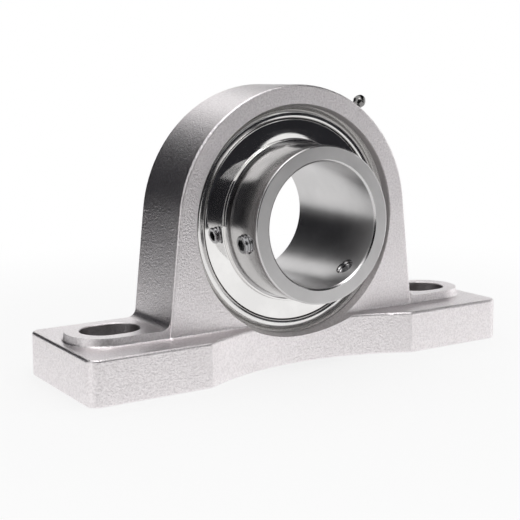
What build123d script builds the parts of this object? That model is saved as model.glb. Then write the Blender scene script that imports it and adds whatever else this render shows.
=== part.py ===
"""Pillow block unit for a 60 mm shaft: cast housing, self-aligning insert bearing, set-screw locking.

Lengths are in millimetres. X runs along the base, Y along the shaft and Z upwards. The origin lies in the
middle of the base's underside, straight below the bearing's centre. The long side of the inner ring, with
the set screws, points to -Y and is called the front.
"""

from build123d import *
import os
from math import acos, atan2, cos, degrees, hypot, pi, radians, sin, sqrt, tan

# ---- Shaft and insert bearing -------------------------------------------------------------------------
bore_d = 60.0  # shaft size
insert_sphere_d = 110.0  # spherical outside of the outer ring
outer_ring_width = 27.0
inner_front_length = 39.7  # bearing centre to the set-screw face of the inner ring
inner_rear_length = 25.4  # bearing centre to the plain face
barrel_wall = 7.5  # inner ring wall outside the seals
land_step = 1.0  # how far the seal land stands above the barrel
land_beyond_ring = 0.6  # seal land's end outside the outer ring's face
bore_chamfer = 0.85
barrel_chamfer = 0.8

ball_d = 15.875
ball_count = 10
pitch_offset = 0.25  # pitch circle outside the middle of the bearing's section
groove_conformity = 1.04  # raceway radius over ball radius
outer_shoulder_rise = 4.4  # outer ring shoulder outside the pitch circle
rim_wall = 3.8  # from the seal recess to where the sphere would meet the outer ring's face
recess_from_face = 5.2  # depth of the seal recess
seal_groove_depth = 0.5
ring_edge_break = 0.35
ring_corner_r = 1.8  # rounding between the sphere and the outer ring's faces

# ---- Seals, slingers, cage ----------------------------------------------------------------------------
seal_from_face = 3.8  # inner face of the rubber to the outer ring's face
rubber_thickness = 1.0
core_thickness = 0.6
core_rim = 0.7  # radial room outside the steel core of a seal
core_inner_rise = 3.0  # steel core's hole outside the seal land
lip_thickness = 0.5
slinger_from_face = 1.2  # inner face of a slinger to the outer ring's face
slinger_sheet = 0.8
slinger_collar_wall = 0.95
slinger_collar_length = 3.2
slinger_rim_drop = 0.6
slinger_gap = 0.55  # slinger's edge to the outer ring

cage_sheet = 1.1
cage_band = 5.4  # radial width of the cage
rivet_d = 2.4
rivet_head_d = 4.2
rivet_head_height = 0.9

# ---- Set screws ---------------------------------------------------------------------------------------
screw_d = 9.0  # the M10 thread is drawn at its pitch diameter
screw_length = 8.0
screw_from_face = 10.2  # screw axis to the front face of the inner ring
screw_angles = (190.5, 310.5)  # about the shaft, from +X towards +Z
screw_tip_recess = 2.0  # point of a resting screw outside the bore
screw_socket_af = 5.0
screw_socket_depth = 3.6
screw_cup_d = 5.6
screw_chamfer = 0.7
screw_hole_countersink = 0.75

# ---- Housing ------------------------------------------------------------------------------------------
seat_floor = 14.8  # underside of the base to the lowest point of the insert
housing_wall = 10.4  # cast wall outside the insert
base_width = 70.5
foot_thickness = 20.8
foot_corner_r = 5.6
foot_edge_r = 1.3
waist_inset = 15.6  # how far each long side of the base is drawn in
waist_from_tower = 13.0  # waist's end inside the tower's foot
waist_corner_r = 2.0
underside_edge = 0.6

tower_thickness = 38.0
tower_spread = 5.6  # tower's foot outside its round top, each side
tower_edge_r = 1.2
tower_root_r = 1.2

slot_width = 22.0
slot_length = 28.0
slot_from_tower = 21.0  # slot's centre to the tower's foot
slot_from_end = 25.5  # slot's centre to the end of the base
slot_edge = 0.5
pad_height = 4.0
pad_draft = 9.0  # degrees
pad_foot_r = 1.0
pad_root_r = 4.5  # where the tower's side runs out onto a pad
pad_end_margin = 7.5  # pad's foot beyond the end of the slot

seat_half_width = 12.0  # from the centre plane to the edge of the machined seat
seat_chamfer_depth = 2.5  # machined chamfer outside the seat, along the shaft
seat_chamfer_rise = 1.5
mouth_draft = 14.0  # degrees, cast opening outside the chamfer
notch_side_room = 0.6  # loading notch beside the outer ring's width
notch_depth_room = 0.4  # loading notch beyond the seat

# ---- Grease nipple ------------------------------------------------------------------------------------
nipple_angle = 48.0  # about the shaft, from +X towards +Z
nipple_thread_d = 9.5
nipple_thread_length = 6.0
nipple_hex_af = 10.0
nipple_hex_height = 5.4
nipple_neck_d = 5.0
nipple_neck_height = 3.6
nipple_head_d = 6.6
nipple_head_height = 5.2
nipple_tip_d = 3.6
nipple_passage_d = 3.0
nipple_mouth_d = 1.7
spot_face_d = 12.5
spot_face_depth = 1.0
valve_ball_d = 2.4
spring_wire_d = 0.4
spring_d = 2.3
spring_turns = 6
grease_hole_d = 5.0
grease_pocket_d = 22.0
grease_pocket_depth = 0.9
grease_groove_offset = 8.7  # from the centre plane to the outer ring's grease groove
grease_groove_width = 2.4
grease_groove_depth = 0.8
grease_port_d = 2.0

# ---- Clearances ---------------------------------------------------------------------------------------
seat_clearance = 0.06  # housing seat to outer ring
race_clearance = 0.03  # raceways to balls
pocket_clearance = 0.15  # cage pockets to balls
lip_clearance = 0.08  # seal lips to the seal land
screw_clearance = 0.05  # set screws in their holes
valve_clearance = 0.04  # valve ball to its seat in the nipple

# ---- Sizes that follow from the ones above ------------------------------------------------------------
bore_r = bore_d / 2
sphere_r = insert_sphere_d / 2
ball_r = ball_d / 2
half_ring = outer_ring_width / 2
barrel_r = bore_r + barrel_wall
land_r = barrel_r + land_step
pitch_r = (bore_r + sphere_r) / 2 + pitch_offset
groove_r = ball_r * groove_conformity
ring_face_r = sqrt(sphere_r**2 - half_ring**2)
recess_r = ring_face_r - rim_wall
shoulder_r = pitch_r + outer_shoulder_rise
recess_start = half_ring - recess_from_face
land_half_length = half_ring + land_beyond_ring
seal_start = half_ring - seal_from_face
seal_end = seal_start + rubber_thickness
slinger_start = half_ring - slinger_from_face
slinger_end = slinger_start + slinger_sheet
screw_y = screw_from_face - inner_front_length
seat_r = sphere_r + seat_clearance
centre_height = sphere_r + seat_floor
tower_r = sphere_r + housing_wall
tower_foot_half_width = tower_r + tower_spread
bolt_spacing = 2 * (tower_foot_half_width + slot_from_tower)
base_length = bolt_spacing + 2 * slot_from_end
waist_half_length = tower_foot_half_width - waist_from_tower
half_tower = tower_thickness / 2
pad_top = foot_thickness + pad_height
# A pad's flat top is as wide as the flat part of the tower's side, so that their edges run on.
pad_top_half_width = half_tower - tower_edge_r
pad_foot_half_width = pad_top_half_width + pad_height * tan(radians(pad_draft))
bearing_centre = Vector(0, 0, centre_height)


def revolved(points):
    """Ring about the shaft axis from a closed outline of (radius, distance along the shaft)."""
    return revolve(make_face(Polyline(*points, close=True)), Axis.Y)


def polar(angle, radius, y=0.0):
    """Point at an angle about the shaft, from +X towards +Z, in the bearing's own frame."""
    return Vector(radius * cos(radians(angle)), y, radius * sin(radians(angle)))


def radial_plane(angle, radius, y=0.0):
    """Plane whose +Z points away from the shaft."""
    out = polar(angle, 1)
    return Plane(origin=polar(angle, radius, y), x_dir=(0, 1, 0), z_dir=out)


def cylinder_between(radius, low, high):
    """Cylinder on the local Z axis from low to high."""
    return Pos(0, 0, low) * Cylinder(radius, high - low, align=(Align.CENTER, Align.CENTER, Align.MIN))


def shaft_cylinder(radius, low, high):
    """Cylinder about the shaft axis between two places along Y."""
    return Plane.XZ.offset(-low) * cylinder_between(radius, low - high, 0)


# ---- Housing ------------------------------------------------------------------------------------------
def base_outline():
    """Plan of the base: a rounded rectangle, drawn in on both long sides by a shallow arc."""
    half_width = base_width / 2
    waist_r = (waist_half_length**2 + waist_inset**2) / (2 * waist_inset)
    outline = RectangleRounded(base_length, base_width, foot_corner_r)
    for side in (-1, 1):
        outline -= Pos(0, side * (half_width - waist_inset + waist_r)) * Circle(waist_r)
    corners = outline.vertices().filter_by(
        lambda v: abs(abs(v.X) - waist_half_length) < 0.01 and abs(abs(v.Y) - half_width) < 0.01
    )
    return fillet(corners, waist_corner_r)


def tower_side():
    """Lean of the tower's straight sides, as an angle, and their point of tangency with the round top."""
    drop = foot_thickness - centre_height
    reach = hypot(tower_foot_half_width, drop)
    tangent = atan2(drop, tower_foot_half_width) + acos(tower_r / reach)
    return tangent, (tower_r * cos(tangent), centre_height + tower_r * sin(tangent))


def tower():
    """Round-topped tower with rounded front and back edges, standing in the base."""
    lean, (x, z) = tower_side()
    sunk = foot_thickness / 2
    foot = tower_foot_half_width + (foot_thickness - sunk) * sin(lean) / cos(lean)
    outline = (
        Line((-foot, sunk), (foot, sunk))
        + Line((foot, sunk), (x, z))
        + ThreePointArc((x, z), (0, centre_height + tower_r), (-x, z))
        + Line((-x, z), (-foot, sunk))
    )
    body = extrude(Plane.XZ * make_face(outline), half_tower, both=True)
    rims = body.edges().filter_by(
        lambda e: abs(abs(e.center().Y) - half_tower) < 0.01 and e.center().Z > sunk + 1
    )
    return fillet(rims, tower_edge_r)


def edges_over(body, sketch, height):
    """Edges of a body that follow the border of a sketch, at a height."""
    border = (Pos(0, 0, height) * sketch).wire()
    return body.edges().filter_by(lambda e: max(border.distance_to(e @ t) for t in (0.1, 0.5, 0.9)) < 0.01)


def pad_flare():
    """Concave root where the tower's side runs out onto a bolt pad, as an outline in X and Z."""
    lean, _ = tower_side()
    r = pad_root_r
    x = tower_foot_half_width + (r - (pad_top + r - foot_thickness) * sin(lean)) / cos(lean)
    z = pad_top + r
    top = (x - r * cos(lean), z - r * sin(lean))
    middle = (x - r * cos(pi / 4 + lean / 2), z - r * sin(pi / 4 + lean / 2))
    inside = x - 2 * r
    outline = (
        ThreePointArc(top, middle, (x, pad_top))
        + Line((x, pad_top), (x, foot_thickness))
        + Line((x, foot_thickness), (inside, foot_thickness))
        + Line((inside, foot_thickness), (inside, top[1]))
        + Line((inside, top[1]), top)
    )
    return make_face(outline)


def pad_outline(margin=0.0):
    """Plan of the right-hand bolt pad at its foot, running straight into the tower."""
    outer = bolt_spacing / 2 + slot_length / 2 + pad_end_margin
    inner = tower_foot_half_width - 2 * pad_root_r - pad_foot_half_width
    width = 2 * pad_foot_half_width
    return Pos((outer + inner) / 2, 0) * SlotOverall(outer - inner + 2 * margin, width + 2 * margin)


def bolt_pad():
    """Raised pad round the right-hand bolt slot, with concave roots on the foot and on the tower's side."""
    foot_plane = Plane.XY.offset(foot_thickness)
    foot = extrude(foot_plane * pad_outline(2 * pad_foot_r), -pad_foot_r)
    pad = foot + extrude(foot_plane * pad_outline(), pad_height, taper=pad_draft)
    pad = fillet(edges_over(pad, pad_outline(), foot_thickness), pad_foot_r)
    pad = split(pad, foot_plane, keep=Keep.TOP)
    return pad + extrude(Plane.XZ * pad_flare(), pad_top_half_width, both=True)


def bolt_slots():
    """The two slots through the feet, with a small break at the top edge."""
    slots = None
    for side in (-1, 1):
        hole = extrude(Pos(side * bolt_spacing / 2, 0, -1) * SlotOverall(slot_length, slot_width), pad_top + 2)
        edge = Pos(side * bolt_spacing / 2, 0, pad_top - slot_edge)
        edge = extrude(edge * SlotOverall(slot_length, slot_width), 2 * slot_edge, taper=-45)
        slots = hole + edge if slots is None else slots + hole + edge
    return slots


def seat_cavity():
    """Spherical seat for the insert, with a machined chamfer and a cast opening on both sides."""
    throat_r = sqrt(seat_r**2 - seat_half_width**2)
    chamfer_r, chamfer_end = throat_r + seat_chamfer_rise, seat_half_width + seat_chamfer_depth
    # The opening's draft is carried on as far as the front of the base.
    outside = base_width / 2
    mouth_r = chamfer_r + (outside - chamfer_end) * tan(radians(mouth_draft))
    side = [(throat_r, seat_half_width), (chamfer_r, chamfer_end), (mouth_r, outside), (0, outside)]
    other = [(r, -y) for r, y in reversed(side)]
    outline = ThreePointArc(other[-1], (seat_r, 0), side[0]) + Polyline(*side, *other)
    return revolve(make_face(outline), Axis.Y)


def loading_notches():
    """Notches on the back, as wide as the outer ring, through which it goes in on edge before it is turned."""
    width = outer_ring_width + 2 * notch_side_room
    disc = shaft_cylinder(seat_r + notch_depth_room, 0, half_tower + 1)
    slab = Box(4 * seat_r, 4 * seat_r, width)
    return disc & slab


def grease_passage():
    """Tapped hole, spot face, drilled hole and pocket that bring grease to the outer ring."""
    plane = radial_plane(nipple_angle, 0)
    seat_floor = tower_r - spot_face_depth
    tapped = cylinder_between(nipple_thread_d / 2, seat_floor - nipple_thread_length, tower_r + 1)
    face = cylinder_between(spot_face_d / 2, seat_floor, tower_r + 2)
    drilled = cylinder_between(grease_hole_d / 2, sphere_r - 1, tower_r)
    pocket = cylinder_between(grease_pocket_d / 2, 0.5 * sphere_r, 2 * sphere_r) & Sphere(
        seat_r + grease_pocket_depth
    )
    return plane * (tapped + face + drilled + pocket)


def housing():
    """One-piece casting: base with a drawn-in waist, bolt pads, tower, and the seat for the insert."""
    slab = extrude(RectangleRounded(base_length, base_width, foot_corner_r), foot_thickness)
    body = slab + tower()
    root = body.edges().filter_by(
        lambda e: abs(e.center().Z - foot_thickness) < 0.01 and abs(e.center().Y) < half_tower + 0.01
        and abs(e.center().X) < tower_foot_half_width + 1
    )
    body = fillet(root, tower_root_r)
    body = body & extrude(base_outline(), centre_height + tower_r + 1)
    body = fillet(edges_over(body, base_outline(), foot_thickness), foot_edge_r)
    body += bolt_pad() + mirror(bolt_pad(), Plane.YZ)
    body -= bolt_slots()
    body -= Pos(bearing_centre) * (seat_cavity() + loading_notches() + grease_passage())
    return chamfer(body.faces().sort_by(Axis.Z)[0].outer_wire().edges(), underside_edge)


# ---- Insert bearing, in its own frame with the ball plane at Y = 0 --------------------------------------
def ring_corner():
    """Rounding from the outer ring's sphere to its face: points on the sphere, halfway and on the face."""
    y = half_ring - ring_corner_r
    r = sqrt((sphere_r - ring_corner_r) ** 2 - y**2)
    start = atan2(y, r)
    angles = (start, (start + pi / 2) / 2, pi / 2)
    return [(r + ring_corner_r * cos(a), y + ring_corner_r * sin(a)) for a in angles]


def outer_ring():
    """Outer ring: spherical outside, raceway, recesses for seals, grease groove with two ports."""
    edge = ring_edge_break
    groove_top = recess_r + seal_groove_depth
    side = [
        (recess_r + edge, half_ring),
        (recess_r, half_ring - edge),
        (recess_r, seal_end),
        (groove_top, seal_end),
        (groove_top, seal_start),
        (recess_r, seal_start),
        (recess_r, recess_start),
        (shoulder_r, recess_start),
    ]
    other = [(r, -y) for r, y in reversed(side)]
    corner = ring_corner()
    far_corner = [(r, -y) for r, y in reversed(corner)]
    outline = Polyline(*side, *other, far_corner[0]) + ThreePointArc(*far_corner)
    outline += ThreePointArc(far_corner[2], (sphere_r, 0), corner[0]) + ThreePointArc(*corner)
    outline += Line(corner[2], side[0])
    ring = revolve(make_face(outline), Axis.Y)
    ring -= outer_race()
    groove_floor = sqrt(sphere_r**2 - grease_groove_offset**2) - grease_groove_depth
    low = -grease_groove_offset - grease_groove_width / 2
    high = -grease_groove_offset + grease_groove_width / 2
    ring -= shaft_cylinder(2 * sphere_r, low, high) - shaft_cylinder(groove_floor, low, high)
    for angle in (nipple_angle, nipple_angle + 180):
        ring -= radial_plane(angle, 0, -grease_groove_offset) * cylinder_between(
            grease_port_d / 2, shoulder_r - 1, sphere_r + 1
        )
    return ring


def race_profile(bottom_r, side):
    """Circle of the raceway's section; side is 1 for the outer race and -1 for the inner one."""
    return Pos(bottom_r - side * groove_r, 0) * Circle(groove_r)


def outer_race():
    return revolve(race_profile(pitch_r + ball_r + race_clearance, 1), Axis.Y)


def inner_race():
    return revolve(race_profile(pitch_r - ball_r - race_clearance, -1), Axis.Y)


def inner_ring():
    """Inner ring, longer at the front, with the ball raceway, seal land and two tapped holes."""
    front, rear = -inner_front_length, inner_rear_length
    outline = [
        (bore_r, front + bore_chamfer),
        (bore_r + bore_chamfer, front),
        (barrel_r - barrel_chamfer, front),
        (barrel_r, front + barrel_chamfer),
        (barrel_r, -land_half_length),
        (land_r, -land_half_length),
        (land_r, land_half_length),
        (barrel_r, land_half_length),
        (barrel_r, rear - barrel_chamfer),
        (barrel_r - barrel_chamfer, rear),
        (bore_r + bore_chamfer, rear),
        (bore_r, rear - bore_chamfer),
    ]
    ring = revolved(outline) - inner_race()
    hole_r = screw_d / 2 + screw_clearance
    for angle in screw_angles:
        hole = cylinder_between(hole_r, bore_r / 2, barrel_r + 1)
        sink = Pos(0, 0, barrel_r - screw_hole_countersink) * Cone(
            hole_r, hole_r + 2 * screw_hole_countersink, 2 * screw_hole_countersink,
            align=(Align.CENTER, Align.CENTER, Align.MIN),
        )
        ring -= radial_plane(angle, 0, screw_y) * (hole + sink)
    return ring


def ball_places(offset=0.0):
    """Places on the pitch circle, one for each ball, turned on by a share of the ball spacing."""
    return [polar((i + offset) * 360 / ball_count, pitch_r) for i in range(ball_count)]


def cage_half():
    """Pressed front half of the cage: a flat band with a round bulge over each ball."""
    pocket_r = ball_r + pocket_clearance
    bulge_r = pocket_r + cage_sheet
    band_in, band_out = pitch_r - cage_band / 2, pitch_r + cage_band / 2
    half = shaft_cylinder(band_out, -cage_sheet, 0)
    for place in ball_places():
        half += Pos(place) * Sphere(bulge_r)
    half = half & (shaft_cylinder(band_out, -2 * bulge_r, 0) - shaft_cylinder(band_in, -2 * bulge_r, 0))
    for place in ball_places():
        half -= Pos(place) * Sphere(pocket_r)
    for place in ball_places(0.5):
        half -= Pos(place) * shaft_cylinder(rivet_d / 2, -2 * cage_sheet, cage_sheet)
    return half


def cage_rivets():
    """Rivets that hold the two cage halves together, one between each pair of balls."""
    grip = cage_sheet
    end = grip + rivet_head_height
    rivet = shaft_cylinder(rivet_d / 2, -grip, grip)
    for side in (-1, 1):
        low, high = sorted((side * grip, side * end))
        head = shaft_cylinder(rivet_head_d / 2, low, high)
        crown = head.edges().filter_by(lambda e: abs(abs(e.center().Y) - end) < 0.01)
        rivet += fillet(crown, 0.6 * rivet_head_height)
    return Compound([Pos(place) * rivet for place in ball_places(0.5)])


def seal_rubber(side):
    """Rubber of a seal: bead in the outer ring's groove, web, and a lip that runs on the seal land."""
    bead_r = recess_r + seal_groove_depth
    lip_r = land_r + lip_clearance
    tip = seal_start + lip_thickness
    outline = [
        (lip_r, seal_start),
        (lip_r, tip),
        (land_r + core_inner_rise, seal_end),
        (bead_r, seal_end),
        (bead_r, seal_start),
    ]
    return revolved([(r, side * y) for r, y in outline])


def seal_core(side):
    """Steel washer bonded to the outside of a seal's rubber."""
    inner, outer = land_r + core_inner_rise, recess_r - core_rim
    end = seal_end + core_thickness
    return revolved([(r, side * y) for r, y in ((inner, seal_end), (outer, seal_end), (outer, end), (inner, end))])


def slinger(side):
    """Polished disc pressed on the seal land, with a collar outwards and a turned-in rim."""
    rim_r = recess_r - slinger_gap
    collar_r = land_r + slinger_collar_wall
    collar_end = slinger_start + slinger_collar_length
    corner = slinger_sheet
    outline = [
        (land_r, slinger_start),
        (rim_r - slinger_sheet, slinger_start),
        (rim_r - slinger_sheet, slinger_start - slinger_rim_drop),
        (rim_r, slinger_start - slinger_rim_drop),
        (rim_r, slinger_end - corner / 2),
        (rim_r - corner / 2, slinger_end),
        (collar_r, slinger_end),
        (collar_r, collar_end - slinger_collar_wall / 3),
        (collar_r - slinger_collar_wall / 3, collar_end),
        (land_r, collar_end),
    ]
    return revolved([(r, side * y) for r, y in outline])


def set_screw(angle):
    """Socket set screw with a cup point, at rest just clear of the bore."""
    r = screw_d / 2
    tip = bore_r + screw_tip_recess
    top = tip + screw_length
    body = cylinder_between(r, tip, top)
    body = chamfer(body.edges().filter_by(GeomType.CIRCLE), screw_chamfer)
    socket = extrude(
        Pos(0, 0, top - screw_socket_depth) * RegularPolygon(screw_socket_af / 2, 6, major_radius=False),
        screw_socket_depth + 1,
    )
    cup_r = screw_cup_d / 2
    cup = Pos(0, 0, tip) * Cone(cup_r, 0, cup_r * 0.6, align=(Align.CENTER, Align.CENTER, Align.MIN))
    return radial_plane(angle, 0, screw_y) * (body - socket - cup)


# ---- Grease nipple, with its seat on the spot face ------------------------------------------------------
nipple_seat = tower_r - spot_face_depth
nipple_tip = nipple_seat + nipple_hex_height + nipple_neck_height + nipple_head_height
valve_centre = nipple_tip - 0.35 * nipple_head_height


def nipple_body():
    """Straight grease nipple: tapered thread, hexagon, neck and ball head, drilled through."""
    hexagon = extrude(
        Pos(0, 0, nipple_seat) * RegularPolygon(nipple_hex_af / 2, 6, major_radius=False), nipple_hex_height
    )
    corner_r = nipple_hex_af / 2 / cos(pi / 6)
    shoulder = Pos(0, 0, nipple_seat) * Cone(
        corner_r + nipple_hex_height * 0.8, corner_r - 0.8, nipple_hex_height,
        align=(Align.CENTER, Align.CENTER, Align.MIN),
    )
    neck_top = nipple_seat + nipple_hex_height + nipple_neck_height
    widest = neck_top + 0.35 * nipple_head_height
    neck_r, head_r, tip_r = nipple_neck_d / 2, nipple_head_d / 2, nipple_tip_d / 2
    stem = Polyline(
        (0, nipple_seat - nipple_thread_length),
        (nipple_thread_d / 2, nipple_seat - nipple_thread_length),
        (nipple_thread_d / 2, nipple_seat),
        (neck_r, nipple_seat),
        (neck_r, neck_top),
        (head_r, widest),
    )
    crown = ThreePointArc(
        (head_r, widest),
        (tip_r + 0.72 * (head_r - tip_r), nipple_tip - 0.45 * (nipple_tip - widest)),
        (tip_r, nipple_tip),
    )
    close = Polyline((tip_r, nipple_tip), (0, nipple_tip), (0, nipple_seat - nipple_thread_length))
    body = revolve(Plane.XZ * make_face(stem + crown + close), Axis.Z) + (hexagon & shoulder)
    valve_room = valve_ball_d / 2 + valve_clearance
    passage = cylinder_between(nipple_passage_d / 2, nipple_seat - nipple_thread_length - 1, valve_centre)
    passage += Pos(0, 0, valve_centre) * Cone(
        nipple_passage_d / 2, 0.0, nipple_passage_d / 2, align=(Align.CENTER, Align.CENTER, Align.MIN)
    )
    passage += Pos(0, 0, valve_centre) * Sphere(valve_room)
    passage += cylinder_between(nipple_mouth_d / 2, valve_centre, nipple_tip + 1)
    return radial_plane(nipple_angle, 0) * (body - passage)


def valve_ball():
    """Check ball that closes the nipple's mouth."""
    return radial_plane(nipple_angle, 0) * (Pos(0, 0, valve_centre) * Sphere(valve_ball_d / 2))


def valve_spring():
    """Coil spring between the check ball and the bottom of the nipple."""
    bottom = nipple_seat - nipple_thread_length + spring_wire_d
    top = valve_centre - valve_ball_d / 2 - spring_wire_d
    mean_r = (spring_d - spring_wire_d) / 2
    helix = Pos(0, 0, bottom) * Helix((top - bottom) / spring_turns, top - bottom, mean_r)
    section = Plane(origin=helix @ 0, z_dir=helix % 0) * Circle(spring_wire_d / 2)
    return radial_plane(nipple_angle, 0) * sweep(section, path=helix)


# ---- The whole unit -------------------------------------------------------------------------------------
def pieces():
    """Every sub-part by name, in the unit's frame."""
    bearing = {
        "outer_ring": outer_ring(),
        "inner_ring": inner_ring(),
        "cage_front": cage_half(),
        "cage_rear": Rot(X=180) * cage_half(),
        "cage_rivets": cage_rivets(),
        "seal_rubber_front": seal_rubber(-1),
        "seal_rubber_rear": seal_rubber(1),
        "seal_core_front": seal_core(-1),
        "seal_core_rear": seal_core(1),
        "slinger_front": slinger(-1),
        "slinger_rear": slinger(1),
        "nipple_body": nipple_body(),
        "nipple_valve_ball": valve_ball(),
        "nipple_spring": valve_spring(),
    }
    for number, place in enumerate(ball_places(), start=1):
        bearing[f"ball_{number:02d}"] = Pos(place) * Sphere(ball_r)
    for letter, angle in zip("ab", screw_angles):
        bearing[f"set_screw_{letter}"] = set_screw(angle)
    unit = {name: Pos(bearing_centre) * shape for name, shape in bearing.items()}
    unit["housing"] = housing()
    return unit


if __name__ == "__main__":
    os.makedirs("parts", exist_ok=True)
    for name, shape in pieces().items():
        export_step(shape, f"parts/{name}.step")
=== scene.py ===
"""Looks of a pillow block bearing: the finished pieces, their materials, the studio and the camera.

X runs along the base, Y along the shaft and Z upwards, and CENTRE is the bearing's centre. Lengths
are in metres, apart from outlines and the sizes of cutting tools, which are in millimetres.
"""

import math

import bpy
from mathutils import Matrix, Vector


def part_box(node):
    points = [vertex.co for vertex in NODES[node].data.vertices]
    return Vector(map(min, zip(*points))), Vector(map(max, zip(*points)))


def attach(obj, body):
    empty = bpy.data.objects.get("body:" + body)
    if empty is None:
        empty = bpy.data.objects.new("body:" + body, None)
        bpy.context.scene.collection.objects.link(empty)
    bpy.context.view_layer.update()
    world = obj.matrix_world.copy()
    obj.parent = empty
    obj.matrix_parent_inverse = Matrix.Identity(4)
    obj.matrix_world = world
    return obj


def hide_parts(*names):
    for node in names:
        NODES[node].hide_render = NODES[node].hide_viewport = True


bl_info = {
    "name": "Pillow Block Bearing",
    "version": (1, 0, 0),
    "blender": (4, 5, 0),
    "location": "3D View > Sidebar > Bearing",
    "description": "Builds the finished pieces of a pillow block bearing and its studio",
    "category": "Object",
}

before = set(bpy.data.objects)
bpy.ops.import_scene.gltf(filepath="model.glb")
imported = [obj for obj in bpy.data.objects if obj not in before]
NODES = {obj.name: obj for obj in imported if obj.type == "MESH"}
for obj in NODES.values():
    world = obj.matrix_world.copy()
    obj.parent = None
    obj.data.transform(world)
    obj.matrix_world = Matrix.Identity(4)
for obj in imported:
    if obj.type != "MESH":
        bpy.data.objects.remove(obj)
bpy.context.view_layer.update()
MM = 0.001
UP = Vector((0, 0, 1))

# The shaft's height and the front end of the inner ring, as the CAD nodes give them.
CENTRE = Vector((0, 0, (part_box("inner_ring")[0].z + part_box("inner_ring")[1].z) / 2))
FRONT_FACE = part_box("inner_ring")[0].y


def middle(node):
    low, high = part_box(node)
    return (low + high) / 2


def outward(node):
    """Unit vector from the shaft axis to the middle of a node."""
    way = middle(node) - CENTRE
    way.y = 0
    return way.normalized()


def on_shaft(node):
    """Point of the shaft axis that is level with a node's middle along the shaft."""
    return CENTRE + Vector((0, middle(node).y, 0))


# ---- Modelling by hand --------------------------------------------------------------------------
def clear_selection():
    if bpy.context.object and bpy.context.object.mode != "OBJECT":
        bpy.ops.object.mode_set(mode="OBJECT")
    bpy.ops.object.select_all(action="DESELECT")


def choose(piece):
    clear_selection()
    piece.select_set(True)
    bpy.context.view_layer.objects.active = piece


def named(name):
    piece = bpy.context.object
    piece.name = name
    piece.data.name = name
    return piece


def place_into_mesh():
    bpy.ops.object.transform_apply(location=True, rotation=True, scale=True)


def edit(piece, mode="VERT"):
    choose(piece)
    bpy.ops.object.mode_set(mode="EDIT")
    bpy.ops.mesh.select_mode(type=mode)


def done():
    bpy.ops.object.mode_set(mode="OBJECT")


def smooth(piece, angle):
    choose(piece)
    bpy.ops.object.shade_smooth_by_angle(angle=math.radians(angle))


def settle(piece, angle=35):
    """Puts a piece's place into its mesh, turns its faces outwards and smooths it."""
    choose(piece)
    place_into_mesh()
    edit(piece)
    bpy.ops.mesh.select_all(action="SELECT")
    bpy.ops.mesh.remove_doubles(threshold=1e-7)
    bpy.ops.mesh.normals_make_consistent(inside=False)
    done()
    smooth(piece, angle)
    return piece


def turned(name, outline, steps, upright=False, capped=False):
    """A turned piece: a circle is extruded and resized along an outline of (radius, place).

    It is built along the shaft about CENTRE, or upright along Z from the origin. The outline closes
    on itself, or with capped its first and last circles are filled.
    """
    centre = Vector() if upright else CENTRE
    along = UP if upright else Vector((0, 1, 0))
    tilt = (0, 0, 0) if upright else (math.pi / 2, 0, 0)
    first_radius, first_place = outline[0]
    clear_selection()
    bpy.ops.mesh.primitive_circle_add(
        vertices=steps,
        radius=first_radius * MM,
        fill_type="NOTHING",
        location=centre + along * first_place * MM,
        rotation=tilt,
    )
    piece = named(name)
    place_into_mesh()
    edit(piece, "EDGE")
    bpy.ops.mesh.select_all(action="SELECT")
    ends = outline[1:] + ([] if capped else outline[:1])
    for (r_from, y_from), (r_to, y_to) in zip(outline, ends):
        step = along * (y_to - y_from) * MM
        bpy.ops.mesh.extrude_region_move(TRANSFORM_OT_translate={"value": step})
        k = r_to / r_from
        size = (k, k, 1) if upright else (k, 1, k)
        bpy.ops.transform.resize(value=size, center_override=centre + along * y_to * MM)
    if capped:
        bpy.ops.mesh.edge_face_add()
        bpy.ops.mesh.select_all(action="DESELECT")
        bpy.ops.mesh.select_non_manifold()
        bpy.ops.mesh.edge_face_add()
    done()
    return settle(piece)


def cylinder(name, sides, radius, low, high):
    """A cylinder or prism along Z, between two heights."""
    clear_selection()
    bpy.ops.mesh.primitive_cylinder_add(
        vertices=sides,
        radius=radius * MM,
        depth=(high - low) * MM,
        location=(0, 0, (low + high) / 2 * MM),
    )
    piece = named(name)
    place_into_mesh()
    return piece


def hexagon_bar(name, across, low, high):
    """A hexagon along Z, given by its width across the flats."""
    return cylinder(name, 6, across / 2 / math.cos(math.pi / 6), low, high)


def finish_with(piece, kind, **settings):
    """Adds a modifier, sets it and applies it."""
    choose(piece)
    modifier = piece.modifiers.new(kind.title(), kind)
    for key, value in settings.items():
        setattr(modifier, key, value)
    bpy.ops.object.modifier_apply(modifier=modifier.name)


def cut(piece, tool, operation="DIFFERENCE"):
    """Cuts a piece with a tool, or keeps only what both share, and throws the tool away."""
    finish_with(piece, "BOOLEAN", operation=operation, object=tool, solver="EXACT")
    bpy.data.objects.remove(tool)


def join(piece, other):
    clear_selection()
    other.select_set(True)
    piece.select_set(True)
    bpy.context.view_layer.objects.active = piece
    bpy.ops.object.join()


def stand(piece, way, place):
    """Turns a piece built along Z so that it points a way, and moves it to its place."""
    choose(piece)
    spin = UP.rotation_difference(way)
    piece.matrix_world = Matrix.Translation(place) @ spin.to_matrix().to_4x4()
    place_into_mesh()


def coat(piece, material):
    piece.data.materials.clear()
    piece.data.materials.append(material)


def finish_piece(piece, body, material, node):
    """Coats a finished piece, says which body it moves with, and hides the node that it stands for.
    """
    coat(piece, material)
    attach(piece, body)
    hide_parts(node)


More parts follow.
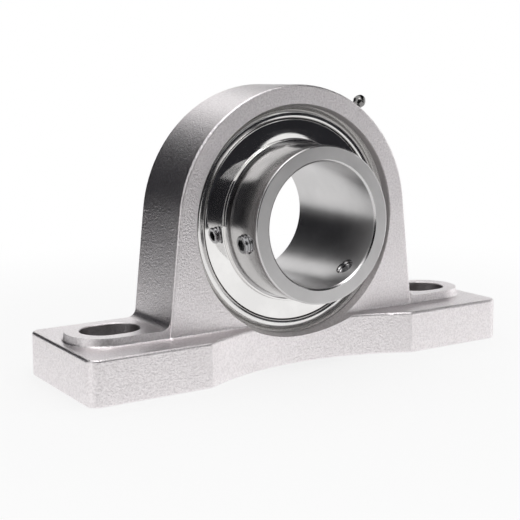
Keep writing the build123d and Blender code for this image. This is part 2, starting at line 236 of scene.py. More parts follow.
# ---- Shader maths -------------------------------------------------------------------------------
class Wire:
    """A shader socket that can be written in expressions."""

    def __init__(self, recipe, socket):
        self.recipe = recipe
        self.socket = socket

    def _math(self, operation, *values):
        return self.recipe.node("ShaderNodeMath", {"operation": operation}, dict(enumerate(values)))

    def __add__(self, other):
        return self._math("ADD", self, other)

    def __radd__(self, other):
        return self._math("ADD", other, self)

    def __sub__(self, other):
        return self._math("SUBTRACT", self, other)

    def __rsub__(self, other):
        return self._math("SUBTRACT", other, self)

    def __mul__(self, other):
        return self._math("MULTIPLY", self, other)

    def __rmul__(self, other):
        return self._math("MULTIPLY", other, self)

    def __abs__(self):
        return self._math("ABSOLUTE", self)

    def root(self):
        return self._math("SQRT", self)

    def at_least(self, least):
        return self._math("MAXIMUM", self, least)


class Recipe:
    """One material or world, built node by node."""

    def __init__(self, owner):
        owner.use_nodes = True
        self.owner = owner
        self.tree = owner.node_tree
        self._place = None

    @classmethod
    def for_material(cls, name):
        return cls(bpy.data.materials.new(name))

    @property
    def shader(self):
        return self.tree.nodes["Principled BSDF"]

    def node(self, kind, settings=None, sockets=None, out=0):
        """Adds a node: its settings first, then a value or a wire for each of its sockets."""
        made = self.tree.nodes.new(kind)
        for key, value in (settings or {}).items():
            setattr(made, key, value)
        for key, value in (sockets or {}).items():
            self.plug(made.inputs[key], value)
        return Wire(self, made.outputs[out])

    def plug(self, socket, value):
        if isinstance(value, Wire):
            self.tree.links.new(value.socket, socket)
        else:
            socket.default_value = value

    def place(self):
        """Object coordinates, measured from the bearing's centre."""
        if self._place is None:
            raw = self.node("ShaderNodeTexCoord", out="Object")
            moved = {"Vector": raw, "Location": -CENTRE}
            self._place = self.node("ShaderNodeMapping", None, moved)
        return self._place

    def split(self):
        parts = self.node("ShaderNodeSeparateXYZ", None, {0: self.place()}).socket.node
        return [Wire(self, socket) for socket in parts.outputs]

    def radius(self):
        """Distance from the shaft axis."""
        x, _, z = self.split()
        return (x * x + z * z).root()

    def noise(self, scale, detail, rough, where=None):
        where = self.place() if where is None else where
        sockets = {"Vector": where, "Scale": scale, "Detail": detail, "Roughness": rough}
        return self.node("ShaderNodeTexNoise", None, sockets)

    def step(self, value, low, high):
        """0 below low, 1 above high, smooth between."""
        return self.node(
            "ShaderNodeMapRange",
            {"interpolation_type": "SMOOTHSTEP"},
            {"Value": value, "From Min": low, "From Max": high, "To Min": 0.0, "To Max": 1.0},
        )

    def tint(self, factor, first, second):
        """Mix of two colours."""
        mixed = {0: factor, 6: first, 7: second}
        return self.node("ShaderNodeMix", {"data_type": "RGBA"}, mixed, out=2)

    def bump(self, height, distance, strength):
        sockets = {"Height": height, "Distance": distance, "Strength": strength}
        return self.node("ShaderNodeBump", None, sockets)

    def set(self, **values):
        """Sets the Principled shader's sockets and gives back the material."""
        for key, value in values.items():
            self.plug(self.shader.inputs[key.replace("_", " ")], value)
        return self.owner

    def show(self, output, share, first, second):
        """Shows a mix of two shaders."""
        shown = self.node("ShaderNodeMixShader", None, {0: share, 1: first, 2: second})
        self.plug(self.tree.nodes[output].inputs["Surface"], shown)


def rgba(colour, share=1.0):
    """A colour, or a darker one that is a share of it."""
    return (share * colour[0], share * colour[1], share * colour[2], 1.0)


# ---- Materials ----------------------------------------------------------------------------------
# Where the casting's skin changes to the machined seat, and where painted shade darkens the upper
# part of the mouth, from and to: round the shaft axis, and above or below it; then how much of that
# painted shade is mixed in, in the mouth and the slots.
MACHINED_R = (55.30 * MM, 55.36 * MM)
MOUTH_R = (56.00 * MM, 56.40 * MM)
MOUTH_Z = (-40 * MM, -15 * MM)
PAINTED_SHADE_SHARE = 0.85

# Bolt slots: how far each one's middle is from the bearing's, its size, and the band of its wall
# where painted shade darkens the colour, from and to.
SLOT_PLACE = 92 * MM
SLOT_WIDTH, SLOT_LENGTH = 22 * MM, 28 * MM
SLOT_SHADE_BAND = (0.05 * MM, 0.5 * MM)

# Where the inner ring's skin changes: behind its front face, and outside its bore.
FACE_SKIN = (0.02 * MM, 0.06 * MM)
BORE_SKIN_R = (30.1 * MM, 30.5 * MM)


def slot_walls(recipe):
    """1 on the walls of the bolt slots, where painted shade goes, 0 elsewhere."""
    x, y, _ = recipe.split()
    along = (abs(abs(x) - SLOT_PLACE) - (SLOT_LENGTH - SLOT_WIDTH) / 2).at_least(0.0)
    across = (along * along + y * y).root()
    near, far = SLOT_SHADE_BAND
    return 1 - recipe.step(across, SLOT_WIDTH / 2 + near, SLOT_WIDTH / 2 + far)


def blasted_casting(looks):
    """Blasted casting: fine grain, painted shade darkening the upper mouth and the slot walls, with
    a machined seat.
    """
    recipe = Recipe.for_material("blasted_casting")
    _, _, z = recipe.split()
    radius = recipe.radius()
    grain = recipe.noise(looks.grain, 3.0, 0.6)
    pits = recipe.noise(looks.grain * 2.1, 2.0, 0.6)
    blotch = recipe.noise(38.0, 4.0, 0.6)
    machined = 1 - recipe.step(radius, *MACHINED_R)
    cast = 1 - machined
    # Painted shade: dull marks the upper part of the drafted mouth and the slot walls, where the
    # colour is mixed towards a dark one to stand in for the shade that falls there.
    mouth = (1 - recipe.step(radius, *MOUTH_R)) * recipe.step(z, *MOUTH_Z)
    dull = (mouth + slot_walls(recipe)) * PAINTED_SHADE_SHARE
    bright_grains = recipe.step(grain, 0.34, 0.64)
    warm_patches = recipe.step(blotch, 0.45, 0.75) * 0.5
    tone = recipe.tint(bright_grains, rgba(looks.cast_dark), rgba(looks.cast_light))
    tone = recipe.tint(warm_patches, tone, rgba(looks.cast_warm))
    tone = recipe.tint(dull, tone, rgba(looks.mouth))
    tone = recipe.tint(machined, tone, rgba(looks.steel))
    rough = (looks.rough + 0.10 * (pits - 0.5)) * cast + looks.seat_rough * machined
    normal = recipe.bump((grain * 0.7 + pits * 0.3) * cast, looks.depth, 1.0)
    return recipe.set(Base_Color=tone, Metallic=1.0, Roughness=rough, Normal=normal)


def turned_steel(name, colour, rough, lines, depth, dull=0.0):
    """Turned steel: very fine rings round the shaft, and with dull a duller front face and bore."""
    recipe = Recipe.for_material(name)
    _, y, _ = recipe.split()
    radius = recipe.radius()
    rings = recipe.node("ShaderNodeCombineXYZ", None, {0: radius, 1: y, 2: 0.0})
    line = recipe.noise(lines, 2.0, 0.6, rings)
    smear = recipe.noise(55.0, 3.0, 0.55)
    near, far = FACE_SKIN
    face = 1 - recipe.step(y, FRONT_FACE + near, FRONT_FACE + far)
    bore = 1 - recipe.step(radius, *BORE_SKIN_R)
    gloss = rough + 0.06 * (line - 0.5) + 0.05 * (smear - 0.5) + dull * face + 0.5 * dull * bore
    tone = recipe.tint(recipe.step(smear, 0.3, 0.75), rgba(colour, 0.9), rgba(colour))
    normal = recipe.bump(line, depth, 0.5)
    return recipe.set(Base_Color=tone, Metallic=1.0, Roughness=gloss, Normal=normal)


def plain_metal(name, colour, rough, scale=240.0, depth=0.01 * MM):
    """Small steel pieces: even colour broken by faint handling marks."""
    recipe = Recipe.for_material(name)
    fine = recipe.noise(scale, 3.0, 0.6)
    wide = recipe.noise(scale * 0.2, 2.0, 0.5)
    gloss = rough + 0.1 * (fine - 0.5)
    tone = recipe.tint(recipe.step(wide, 0.3, 0.7), rgba(colour, 0.82), rgba(colour))
    normal = recipe.bump(fine, depth, 0.4)
    return recipe.set(Base_Color=tone, Metallic=1.0, Roughness=gloss, Normal=normal)


def seal_rubber():
    recipe = Recipe.for_material("seal_rubber")
    fine = recipe.noise(900.0, 2.0, 0.5)
    gloss = 0.55 + 0.2 * fine
    tone = recipe.tint(fine, (0.018, 0.018, 0.018, 1), (0.04, 0.04, 0.04, 1))
    normal = recipe.bump(fine, 0.02 * MM, 0.4)
    return recipe.set(Base_Color=tone, Metallic=0.0, Roughness=gloss, Normal=normal)


# ---- Sizes and colours that a user can change ---------------------------------------------------
def length(name, default, text):
    return bpy.props.FloatProperty(
        name=name, default=default, min=0.0, unit="LENGTH", description=text
    )


def number(name, default, text):
    return bpy.props.FloatProperty(name=name, default=default, description=text)


def colour(name, default, text):
    return bpy.props.FloatVectorProperty(
        name=name, default=default, subtype="COLOR", size=3, min=0.0, max=1.0, description=text
    )


class CastingLooks(bpy.types.PropertyGroup):
    cast_light: colour("Light grains", (0.94, 0.90, 0.91), "Brightest grains of the blasted skin")
    cast_dark: colour("Dark grains", (0.80, 0.76, 0.77), "Darkest grains of the blasted skin")
    cast_warm: colour("Warm patches", (0.87, 0.825, 0.835), "Soft patches on the blasted skin")
    # Painted shade: this dark colour stands in for the shade that falls in the upper drafted mouth
    # and on the slot walls.
    mouth: colour("Mouth", (0.30, 0.285, 0.29), "Duller skin in the drafted mouth and the slots")
    steel: colour("Machined steel", (0.62, 0.61, 0.60), "Seat, chamfers and other machined places")
    grain: number("Grain", 1000.0, "Grains per metre of the blasted skin")
    depth: length("Grain depth", 0.38 * MM, "Depth of the blasted grain")
    rough: number("Roughness", 0.32, "Mean roughness of the blasted skin")
    seat_rough: number("Seat roughness", 0.26, "Roughness of the machined places")


class RingLooks(bpy.types.PropertyGroup):
    steel: colour("Inner ring steel", (0.64, 0.63, 0.63), "Ground steel of the inner ring")
    outer: colour("Outer ring steel", (0.84, 0.83, 0.82), "Finely ground steel of the outer ring")
    mirror: colour("Slinger steel", (0.88, 0.87, 0.86), "Polished steel of the slingers")
    screw: colour("Screw steel", (0.46, 0.46, 0.47), "Steel of the set screws")
    pitch: length("Thread pitch", 1.5 * MM, "Pitch of the set screws' thread")


class NippleLooks(bpy.types.PropertyGroup):
    steel: colour("Nipple steel", (0.24, 0.235, 0.23), "Dark polished steel of the grease nipple")
    pitch: length("Thread pitch", 0.9 * MM, "Pitch of the grease nipple's thread")


class StudioLooks(bpy.types.PropertyGroup):
    floor: colour("Floor", (0.90, 0.90, 0.90), "Colour of the floor under the light")
    lift: number("Floor lift", 0.75, "How white the floor is shown near the bearing, from 0 to 1")
    ambient: number("Ambient", 0.75, "Strength of the even light from all round")
    card: colour("Dark cards", (0.012, 0.012, 0.016), "Colour of the cards that the steel mirrors")
    front: number("Front light", 3.0, "Power of the large light above the front, in watts")
    side: number("Side light", 0.5, "Power of the small low light right of the front, in watts")
    top: number("Top light", 0.6, "Power of the light above the back, in watts")
    lens: number("Lens", 76.552, "Focal length of the camera, in millimetres")


# ---- Outlines of the turned pieces, as (radius, place along the axis) in mm ---------------------
# Bearing: races, rings and the lands that the seals and slingers sit on.
SPHERE_R = 55.0
PITCH_R = 42.75
BALL_R = 7.9375
RACEWAY_R = BALL_R * 1.04
RACE_ROOM = 0.03
HALF_RING = 13.5
RECESS_R = math.sqrt(SPHERE_R**2 - HALF_RING**2) - 3.8
CORNER_R = 1.8
SHOULDER_R = 47.15
LAND_R = 38.5
BARREL_R = 37.5
BORE_R = 30.0

# Grease groove round the outer ring: its middle, half width and depth; and the ports through it.
GREASE_Y, GREASE_HALF, GREASE_DEPTH = -8.7, 1.2, 0.8
PORT_R, PORT_MIDDLE, PORT_HALF = 1.0, 51.0, 6.0

# Set screws: ends measured from the shaft axis, and the hexagon socket.
SCREW_R = 4.5
SCREW_TIP, SCREW_TOP = 32.0, 40.0
SOCKET_ACROSS, SOCKET_DEPTH = 5.0, 3.4

# Grease nipple: its seat measured from the shaft axis, its hexagon, and the bore of the hexagon.
NIPPLE_SEAT = 64.4
HEXAGON_ACROSS, HEXAGON_HEIGHT, HEXAGON_EDGE = 10.0, 5.4, 0.12
HEXAGON_BORE_R, HEXAGON_BORE_HALF = 4.5, 15.0

# The nipple above its thread, as (radius, height over the seat).
NIPPLE_FLANGE = [(4.3, -0.3), (4.3, 0.0), (5.6, 0.0), (5.6, 0.1), (4.9, 0.1)]
NIPPLE_NECK = [(4.9, 5.2), (4.4, 5.4), (2.9, 5.4), (2.6, 5.8), (2.5, 6.2), (2.5, 8.6), (2.6, 9.0)]
NIPPLE_HEAD = [(3.2, 10.5), (3.3, 10.9), (3.22, 11.6), (2.95, 12.5), (2.5, 13.3), (2.05, 13.9)]
NIPPLE_MOUTH = [(1.8, 14.2), (1.1, 14.2), (0.86, 14.0), (0.86, 13.4)]
NIPPLE_CHAMBER = [(1.24, 12.4), (1.24, 10.8), (1.5, 10.5)]

# How many sides each turned piece has, and the angle up to which its faces are smoothed together.
RING_SIDES, NIPPLE_SIDES, SCREW_SIDES, HOLE_SIDES, PORT_SIDES = 224, 96, 72, 64, 24
TURNED_ANGLE, SCREW_ANGLE, BEVEL_ANGLE = 32, 30, 35


def arc(centre, radius, start, end, steps):
    """Points of an outline along an arc, angles in degrees from the direction of growing radius."""
    turn = [math.radians(start + (end - start) * i / steps) for i in range(steps + 1)]
    return [(centre[0] + radius * math.cos(t), centre[1] + radius * math.sin(t)) for t in turn]


def on_sphere(y):
    """Point of the outer ring's spherical outside."""
    return (math.sqrt(SPHERE_R**2 - y * y), y)


def outer_ring_outline():
    """Spherical outside with the grease groove, rounded corners, seal recesses and ball raceway."""
    edge, lip = 0.35, 0.06
    snap_depth, snap_start, snap_end, recess_floor = 0.5, 9.7, 10.7, 8.3
    corner_y = HALF_RING - CORNER_R
    corner_x = math.sqrt((SPHERE_R - CORNER_R) ** 2 - corner_y**2)
    lean = math.degrees(math.atan2(corner_y, corner_x))
    low, high = GREASE_Y - GREASE_HALF, GREASE_Y + GREASE_HALF
    groove_floor = on_sphere(GREASE_Y)[0] - GREASE_DEPTH
    start, end, parts = high + 0.1, corner_y * SPHERE_R / (SPHERE_R - CORNER_R), 16
    race_x = PITCH_R + BALL_R + RACE_ROOM - RACEWAY_R
    reach = math.degrees(math.acos((SHOULDER_R - race_x) / RACEWAY_R))
    recess = [(RECESS_R + edge + lip, HALF_RING), (RECESS_R + edge, HALF_RING - 0.03)]
    recess += [(RECESS_R, HALF_RING - edge), (RECESS_R, snap_end)]
    recess += [(RECESS_R + snap_depth, snap_end), (RECESS_R + snap_depth, snap_start)]
    recess += [(RECESS_R, snap_start), (RECESS_R, recess_floor), (SHOULDER_R, recess_floor)]
    outline = arc((corner_x, -corner_y), CORNER_R, -90, -lean, 8)
    outline += [on_sphere(low - 0.1), on_sphere(low + lip)]
    outline += [(groove_floor, low), (groove_floor, high), on_sphere(high - lip)]
    outline += [on_sphere(start + (end - start) * i / parts) for i in range(parts)]
    outline += arc((corner_x, corner_y), CORNER_R, lean, 90, 8)
    outline += recess
    outline += arc((race_x, 0), RACEWAY_R, reach, -reach, 20)
    return outline + [(radius, -y) for radius, y in reversed(recess)]


def inner_ring_outline():
    """Bore, chamfered ends, barrel, seal lands and the ball raceway."""
    front, rear, land_end = -39.7, 25.4, 14.0
    bevel, edge, lip = 0.85, 0.8, 0.06
    race_x = PITCH_R - BALL_R - RACE_ROOM + RACEWAY_R
    reach = math.degrees(math.acos((race_x - LAND_R) / RACEWAY_R))
    land = [(LAND_R, land_end), (LAND_R - 0.1, land_end + 0.1), (BARREL_R, land_end + 0.1)]
    outline = [(BORE_R, rear - bevel - 0.08), (BORE_R, front + bevel + 0.08)]
    outline += [(BORE_R + lip, front + bevel), (BORE_R + bevel, front + lip)]
    outline += [(BORE_R + bevel + 0.08, front), (BARREL_R - edge - 0.05, front)]
    outline += arc((BARREL_R - edge, front + edge), edge, -90, 0, 6)
    outline += [(radius, -y) for radius, y in reversed(land)]
    outline += arc((race_x, 0), RACEWAY_R, 180 + reach, 180 - reach, 20)
    outline += land
    outline += arc((BARREL_R - edge, rear - edge), edge, 0, 90, 6)
    outline += [(BARREL_R - edge - 0.05, rear), (BORE_R + bevel + 0.08, rear)]
    return outline + [(BORE_R + bevel, rear - lip), (BORE_R + lip, rear - bevel)]


def slinger_outline(side):
    """Flat polished disc with a rolled rim and a collar."""
    start, sheet, rim_r, collar_r, collar_end = 12.3, 0.8, RECESS_R - 0.55, LAND_R + 0.95, 15.5
    roll, bend, collar_edge = 0.45, 0.35, 0.3
    end, skirt = start + sheet, start - 0.6
    outline = [(LAND_R, start), (rim_r - sheet, start), (rim_r - sheet, skirt)]
    outline += [(rim_r - 0.1, skirt), (rim_r, start - 0.5), (rim_r, end - roll)]
    outline += arc((rim_r - roll, end - roll), roll, 15, 90, 5)
    outline += [(collar_r + bend, end)]
    outline += arc((collar_r + bend, end + bend), bend, -105, -180, 4)[1:]
    outline += [(collar_r, collar_end - collar_edge)]
    outline += arc((collar_r - collar_edge, collar_end - collar_edge), collar_edge, 15, 90, 4)
    outline += [(LAND_R + 0.12, collar_end), (LAND_R, collar_end - 0.12)]
    return [(r, side * y) for r, y in (outline if side > 0 else reversed(outline))]


def thread(start, limit, pitch, near, far, shares):
    """Thread as closed rings, one each pitch, and the place where the last one ends.

    Each ring goes from the near radius to the far one and back; shares of the pitch say where the
    far radius starts and ends and where the near one is reached again.
    """
    rings, place = [], start
    far_start, far_end, near_again = shares
    while place + pitch < limit:
        rings += [(far, place + far_start * pitch), (far, place + far_end * pitch)]
        rings += [(near, place + near_again * pitch), (near, place + pitch)]
        place += pitch
    return rings, place


def screw_hole_outline(pitch):
    """Tapped hole for a set screw, from inside the bore out through the barrel, countersunk."""
    crest, root, start = SCREW_R + 0.05, SCREW_R + 0.5, BORE_R + 0.3
    rings, _ = thread(start, BARREL_R - 0.5, pitch, crest, root, (0.42, 0.55, 0.94))
    outline = [(crest, BORE_R - 6.0), (crest, start)] + rings + [(crest, BARREL_R - 0.75)]
    return outline + [(crest + 3.0, BARREL_R + 2.25), (crest + 3.0, BARREL_R + 4.0)]


def set_screw_outline(pitch):
    """Set screw: cup point, thread and chamfered top."""
    tip, top, crest, root = SCREW_TIP, SCREW_TOP, SCREW_R - 0.02, SCREW_R - 0.55
    start, shares = tip + 0.7, (0.38, 0.52, 0.9)
    rings, place = thread(start, top - 0.6, pitch, root, crest, shares)
    outline = [(0.2, tip + 1.55), (2.74, tip + 0.04), (2.84, tip), (3.3, tip), (root, start)]
    outline += rings + [(crest - 0.1, place + shares[0] * pitch)]
    return outline + [(root + 0.05, top - 0.12), (root - 0.1, top), (0.2, top)]


def nipple_outline(pitch):
    """Grease nipple: thread, flange, neck and ball head with its mouth and valve chamber."""
    root, crest, low = 4.2, 4.72, NIPPLE_SEAT - 6.0
    outline, place = [(1.5, low), (4.3, low)], NIPPLE_SEAT - 5.6
    while place + pitch < NIPPLE_SEAT - 0.4:
        outline += [(root, place), (crest, place + 0.45 * pitch), (crest, place + 0.55 * pitch)]
        place += pitch
    above = NIPPLE_FLANGE + NIPPLE_NECK + NIPPLE_HEAD + NIPPLE_MOUTH + NIPPLE_CHAMBER
    return outline + [(radius, NIPPLE_SEAT + height) for radius, height in above]


# ---- Operators ----------------------------------------------------------------------------------
class BEARING_OT_casting(bpy.types.Operator):
    """Finish the cast housing"""

    bl_idname = "bearing.casting"
    bl_label = "Casting"

    def execute(self, context):
        coat(NODES["housing"], blasted_casting(context.scene.bearing_casting))
        return {"FINISHED"}


class BEARING_OT_rings(bpy.types.Operator):
    """Turn the outer and inner rings"""

    bl_idname = "bearing.rings"
    bl_label = "Rings"

    def execute(self, context):
        looks = context.scene.bearing_rings
        steel = turned_steel("ground_ring_steel", looks.steel, 0.19, 5200.0, 0.02 * MM, dull=0.22)
        fine = turned_steel("finely_ground_ring_steel", looks.outer, 0.13, 3200.0, 0.01 * MM)

        outer = turned("turned_outer_ring", outer_ring_outline(), RING_SIDES)
        for sign in (-1, 1):
            way = outward("nipple_body") * sign
            port = cylinder("grease_port", PORT_SIDES, PORT_R, -PORT_HALF, PORT_HALF)
            stand(port, way, CENTRE + way * PORT_MIDDLE * MM + Vector((0, GREASE_Y * MM, 0)))
            cut(outer, port)
        smooth(outer, TURNED_ANGLE)
        finish_piece(outer, "insert", fine, "outer_ring")

        inner = turned("turned_inner_ring", inner_ring_outline(), RING_SIDES)
        hole = screw_hole_outline(looks.pitch / MM)
        for node in ("set_screw_a", "set_screw_b"):
            tool = turned("screw_hole", hole, HOLE_SIDES, upright=True, capped=True)
            stand(tool, outward(node), on_shaft(node))
            cut(inner, tool)
        smooth(inner, TURNED_ANGLE)
        finish_piece(inner, "inner", steel, "inner_ring")
        return {"FINISHED"}


class BEARING_OT_slingers(bpy.types.Operator):
    """Turn and polish the two slingers"""

    bl_idname = "bearing.slingers"
    bl_label = "Slingers"

    def execute(self, context):
        looks = context.scene.bearing_rings
        mirror = turned_steel("polished_slinger_steel", looks.mirror, 0.045, 900.0, 0.004 * MM)
        for side, end in ((-1, "front"), (1, "rear")):
            piece = turned("polished_slinger_" + end, slinger_outline(side), RING_SIDES)
            finish_piece(piece, "inner", mirror, "slinger_" + end)
        return {"FINISHED"}


class BEARING_OT_set_screws(bpy.types.Operator):
    """Model the two set screws"""

    bl_idname = "bearing.set_screws"
    bl_label = "Set screws"

    def execute(self, context):
        looks = context.scene.bearing_rings
        steel = plain_metal("set_screw_steel", looks.screw, 0.24)
        outline = set_screw_outline(looks.pitch / MM)
        for node, body in (("set_screw_a", "screw_a"), ("set_screw_b", "screw_b")):
            piece = turned("threaded_" + node, outline, SCREW_SIDES, upright=True, capped=True)
            socket_floor = SCREW_TOP - SOCKET_DEPTH
            cut(piece, hexagon_bar("socket", SOCKET_ACROSS, socket_floor, SCREW_TOP + 1))
            stand(piece, outward(node), on_shaft(node))
            settle(piece, SCREW_ANGLE)
            finish_piece(piece, body, steel, node)
        return {"FINISHED"}


class BEARING_OT_grease_nipple(bpy.types.Operator):
    """Model the grease nipple"""

    bl_idname = "bearing.grease_nipple"
    bl_label = "Grease nipple"

    def execute(self, context):
        looks = context.scene.bearing_nipple
        steel = plain_metal("nipple_steel", looks.steel, 0.16)
        outline = nipple_outline(looks.pitch / MM)
        stem = turned("dark_grease_nipple", outline, NIPPLE_SIDES, upright=True)
        join(stem, nipple_hexagon())
        stand(stem, outward("nipple_body"), CENTRE)
        smooth(stem, TURNED_ANGLE)
        finish_piece(stem, "housing", steel, "nipple_body")
        return {"FINISHED"}


def nipple_hexagon():
    """The nipple's hexagon: its corners turned down by a cone, bored out, with its edges broken."""
    seat, top = NIPPLE_SEAT, NIPPLE_SEAT + HEXAGON_HEIGHT
    hexagon = hexagon_bar("hexagon", HEXAGON_ACROSS, seat, top)
    clear_selection()
    bpy.ops.mesh.primitive_cone_add(
        vertices=NIPPLE_SIDES,
        radius1=(HEXAGON_ACROSS / 2 + HEXAGON_HEIGHT) * MM,
        radius2=(HEXAGON_ACROSS / 2 - 0.05) * MM,
        depth=HEXAGON_HEIGHT * MM,
        location=(0, 0, (seat + top) / 2 * MM),
    )
    cut(hexagon, named("shoulder"), "INTERSECT")
    low, high = seat - HEXAGON_BORE_HALF, seat + HEXAGON_BORE_HALF
    cut(hexagon, cylinder("core", NIPPLE_SIDES, HEXAGON_BORE_R, low, high))
    finish_with(
        hexagon,
        "BEVEL",
        width=HEXAGON_EDGE * MM,
        segments=2,
        limit_method="ANGLE",
        angle_limit=math.radians(BEVEL_ANGLE),
    )
    return hexagon


class BEARING_OT_inside(bpy.types.Operator):
    """Give the balls, cage, seals and the nipple's valve their finishes"""

    bl_idname = "bearing.inside"
    bl_label = "Inside pieces"

    def execute(self, context):
        polish = 0.002 * MM
        finishes = {
            "ball_": plain_metal("bearing_ball_steel", (0.80, 0.80, 0.80), 0.06, 120.0, polish),
            "cage_rivets": plain_metal("rivet_steel", (0.48, 0.48, 0.48), 0.35),
            "cage_": plain_metal("pressed_cage_steel", (0.58, 0.57, 0.55), 0.3),
            "seal_rubber": seal_rubber(),
            "seal_core": plain_metal("seal_core_steel", (0.5, 0.5, 0.5), 0.32),
            "nipple_valve": plain_metal("valve_ball_steel", (0.7, 0.7, 0.7), 0.1, 600.0, polish),
            "nipple_spring": plain_metal("valve_spring_steel", (0.5, 0.5, 0.5), 0.28, 900.0),
        }
        for node, piece in NODES.items():
            for start, material in finishes.items():
                if node.startswith(start):
                    coat(piece, material)
                    break
        return {"FINISHED"}


# ---- Studio -------------------------------------------------------------------------------------
WHITE = (1, 1, 1, 1)
FLOOR_SIZE, FLOOR_DROP = 12.0, 0.2 * MM
FLOOR_FADE = (0.16, 0.42)

# Lamps: name, place, size, and the property that holds the power. Each one faces the bearing.
LAMPS = (
    ("front_light", (-0.15, -0.50, 1.18), (0.70, 0.50), "front"),
    ("side_light", (0.51, -0.32, 0.10), (0.16, 0.12), "side"),
    ("top_light", (0.25, 0.45, 1.15), (1.00, 0.80), "top"),
)

# Dark cards: name, place and size. Each one faces the bearing.
CARDS = (
    ("dark_card_right", (0.28, -0.345, 0.09), (0.44, 0.18)),
    ("dark_card_front", (-0.21, -0.34, 0.17), (0.42, 0.34)),
    ("dark_card_high", (0.06, -0.50, 0.33), (0.36, 0.20)),
    ("dark_card_back", (-0.25, 0.24, 0.19), (0.66, 0.38)),
    ("dark_card_low", (-0.26, 0.235, 0.05), (0.46, 0.10)),
    ("dark_card_pad", (0.00, -0.50, 0.125), (0.30, 0.15)),
    ("dark_card_corner", (0.40, -0.33, 0.36), (0.34, 0.27)),
    ("dark_card_above", (0.44, -0.04, 0.64), (0.90, 0.50)),
    ("dark_card_behind", (0.41, 0.345, 0.50), (0.60, 0.36)),
)

# Camera: angles in degrees round Z from the front, above level and about its own axis; its
# distance in metres from the point it is turned about; and its sensor, in millimetres.
CAMERA_TURN, CAMERA_LIFT, CAMERA_ROLL = -33.267, 7.229, -0.185
CAMERA_DISTANCE = 0.549515
CAMERA_PIVOT = Vector((0, 0, 0.07))
CAMERA_SHIFT = (-0.03402, -0.08392)
SENSOR_WIDTH, CLIP_START = 36.0, 0.01


class BEARING_OT_studio(bpy.types.Operator):
    """Set up the floor, the light and the camera"""

    bl_idname = "bearing.studio"
    bl_label = "Studio"

    def execute(self, context):
        looks = context.scene.bearing_studio
        clear_selection()
        bpy.ops.mesh.primitive_plane_add(size=FLOOR_SIZE, location=(0, 0, -FLOOR_DROP))
        floor = named("studio_floor")
        floor.data.materials.append(pale_floor(looks))
        pale_world(context.scene, looks)
        for name, place, size, power in LAMPS:
            softbox(name, place, size, getattr(looks, power))
        for name, place, size in CARDS:
            dark_card(name, place, size, looks)
        stand_camera(context.scene, looks)
        context.scene.view_settings.view_transform = "Standard"
        return {"FINISHED"}


def seen_rays(recipe, camera_share=1.0):
    """A share for the camera, 1 for mirrors and glass, 0 for the light that falls on things."""
    rays = recipe.node("ShaderNodeLightPath").socket.node
    camera_ray = Wire(recipe, rays.outputs["Is Camera Ray"]) * camera_share
    glossy = Wire(recipe, rays.outputs["Is Glossy Ray"])
    clear = Wire(recipe, rays.outputs["Is Transmission Ray"])
    clamped = {"operation": "ADD", "use_clamp": True}
    return recipe.node("ShaderNodeMath", clamped, {0: camera_ray, 1: glossy + clear})


def pale_floor(looks):
    """Pale floor: keeps its own colour and shadow near the bearing, and is shown white far away."""
    recipe = Recipe.for_material("pale_floor")
    soft = recipe.noise(2.0, 2.0, 0.5)
    tone = recipe.tint(soft, rgba(looks.floor, 0.99), rgba(looks.floor))
    recipe.set(Base_Color=tone, Roughness=0.9, Metallic=0.0)
    x, y, _ = recipe.split()
    away = recipe.step((x * x + y * y).root(), *FLOOR_FADE)
    share = seen_rays(recipe, looks.lift + (1 - looks.lift) * away)
    white = recipe.node("ShaderNodeEmission", None, {"Color": WHITE, "Strength": 1.0})
    recipe.show("Material Output", share, Wire(recipe, recipe.shader.outputs[0]), white)
    return recipe.owner


def pale_world(scene, looks):
    """Even light for what it falls on, and plain white for the camera, mirrors and glass."""
    scene.world = bpy.data.worlds.new("studio_world")
    recipe = Recipe(scene.world)
    even, full = ({"Color": WHITE, "Strength": strength} for strength in (looks.ambient, 1.0))
    ambient = recipe.node("ShaderNodeBackground", None, even)
    white = recipe.node("ShaderNodeBackground", None, full)
    recipe.show("World Output", seen_rays(recipe), ambient, white)


def face_bearing(thing, place):
    thing.location = place
    thing.rotation_euler = (CENTRE - Vector(place)).to_track_quat("-Z", "Y").to_euler()


def softbox(name, place, size, power):
    light = bpy.data.lights.new(name, "AREA")
    light.shape = "RECTANGLE"
    light.size, light.size_y = size
    light.energy = power
    lamp = bpy.data.objects.new(name, light)
    lamp.visible_camera = False
    bpy.context.scene.collection.objects.link(lamp)
    face_bearing(lamp, place)


def dark_card(name, place, size, looks):
    """A dark card beside the bearing, which is seen only where the steel mirrors it."""
    clear_selection()
    bpy.ops.mesh.primitive_plane_add(size=1.0)
    card = named(name)
    card.scale = (size[0], size[1], 1)
    face_bearing(card, place)
    paint = Recipe.for_material(name)
    card.data.materials.append(paint.set(Base_Color=rgba(looks.card), Roughness=1.0))
    card.visible_camera = False
    card.visible_shadow = False
    card.visible_diffuse = False


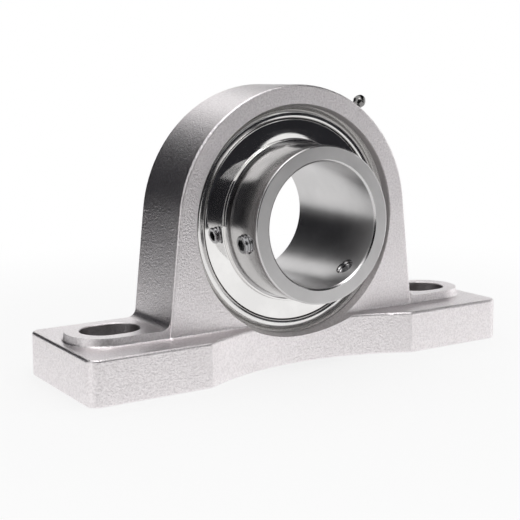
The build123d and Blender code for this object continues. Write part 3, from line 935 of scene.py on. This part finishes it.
def stand_camera(scene, looks):
    turn, lift, roll = (math.radians(a) for a in (CAMERA_TURN, CAMERA_LIFT, CAMERA_ROLL))
    level = math.cos(lift)
    back = Vector((math.sin(turn) * level, -math.cos(turn) * level, math.sin(lift)))
    right = UP.cross(back).normalized()
    up = back.cross(right)
    across = right * math.cos(roll) + up * math.sin(roll)
    upright = up * math.cos(roll) - right * math.sin(roll)
    lens = bpy.data.cameras.new("studio_camera")
    lens.lens = looks.lens
    lens.sensor_width = SENSOR_WIDTH
    lens.shift_x, lens.shift_y = CAMERA_SHIFT
    lens.clip_start = CLIP_START
    eye = bpy.data.objects.new("studio_camera", lens)
    scene.collection.objects.link(eye)
    turned_to = Matrix((across, upright, back)).transposed().to_4x4()
    eye.matrix_world = Matrix.Translation(CAMERA_PIVOT + back * CAMERA_DISTANCE) @ turned_to
    scene.camera = eye


# ---- Panel and registration ---------------------------------------------------------------------
class BEARING_PT_panel(bpy.types.Panel):
    """Lists the pieces of the bearing"""

    bl_label = "Pillow Block Bearing"
    bl_idname = "BEARING_PT_panel"
    bl_space_type = "VIEW_3D"
    bl_region_type = "UI"
    bl_category = "Bearing"

    def draw(self, context):
        for kind in OPERATORS:
            self.layout.operator(kind.bl_idname)
        for holder in GROUPS:
            group = getattr(context.scene, holder)
            for key in group.bl_rna.properties.keys():
                if key not in ("rna_type", "name"):
                    self.layout.prop(group, key)


GROUPS = {
    "bearing_casting": CastingLooks,
    "bearing_rings": RingLooks,
    "bearing_nipple": NippleLooks,
    "bearing_studio": StudioLooks,
}
OPERATORS = (
    BEARING_OT_casting,
    BEARING_OT_rings,
    BEARING_OT_slingers,
    BEARING_OT_set_screws,
    BEARING_OT_grease_nipple,
    BEARING_OT_inside,
    BEARING_OT_studio,
)


def register():
    for holder, kind in GROUPS.items():
        bpy.utils.register_class(kind)
        setattr(bpy.types.Scene, holder, bpy.props.PointerProperty(type=kind))
    for kind in OPERATORS + (BEARING_PT_panel,):
        bpy.utils.register_class(kind)


def unregister():
    for kind in reversed(OPERATORS + (BEARING_PT_panel,)):
        bpy.utils.unregister_class(kind)
    for holder, kind in reversed(GROUPS.items()):
        delattr(bpy.types.Scene, holder)
        bpy.utils.unregister_class(kind)


def main():
    register()
    bpy.ops.bearing.casting()
    bpy.ops.bearing.rings()
    bpy.ops.bearing.slingers()
    bpy.ops.bearing.set_screws()
    bpy.ops.bearing.grease_nipple()
    bpy.ops.bearing.inside()
    bpy.ops.bearing.studio()
    clear_selection()


if __name__ == "__main__":
    main()
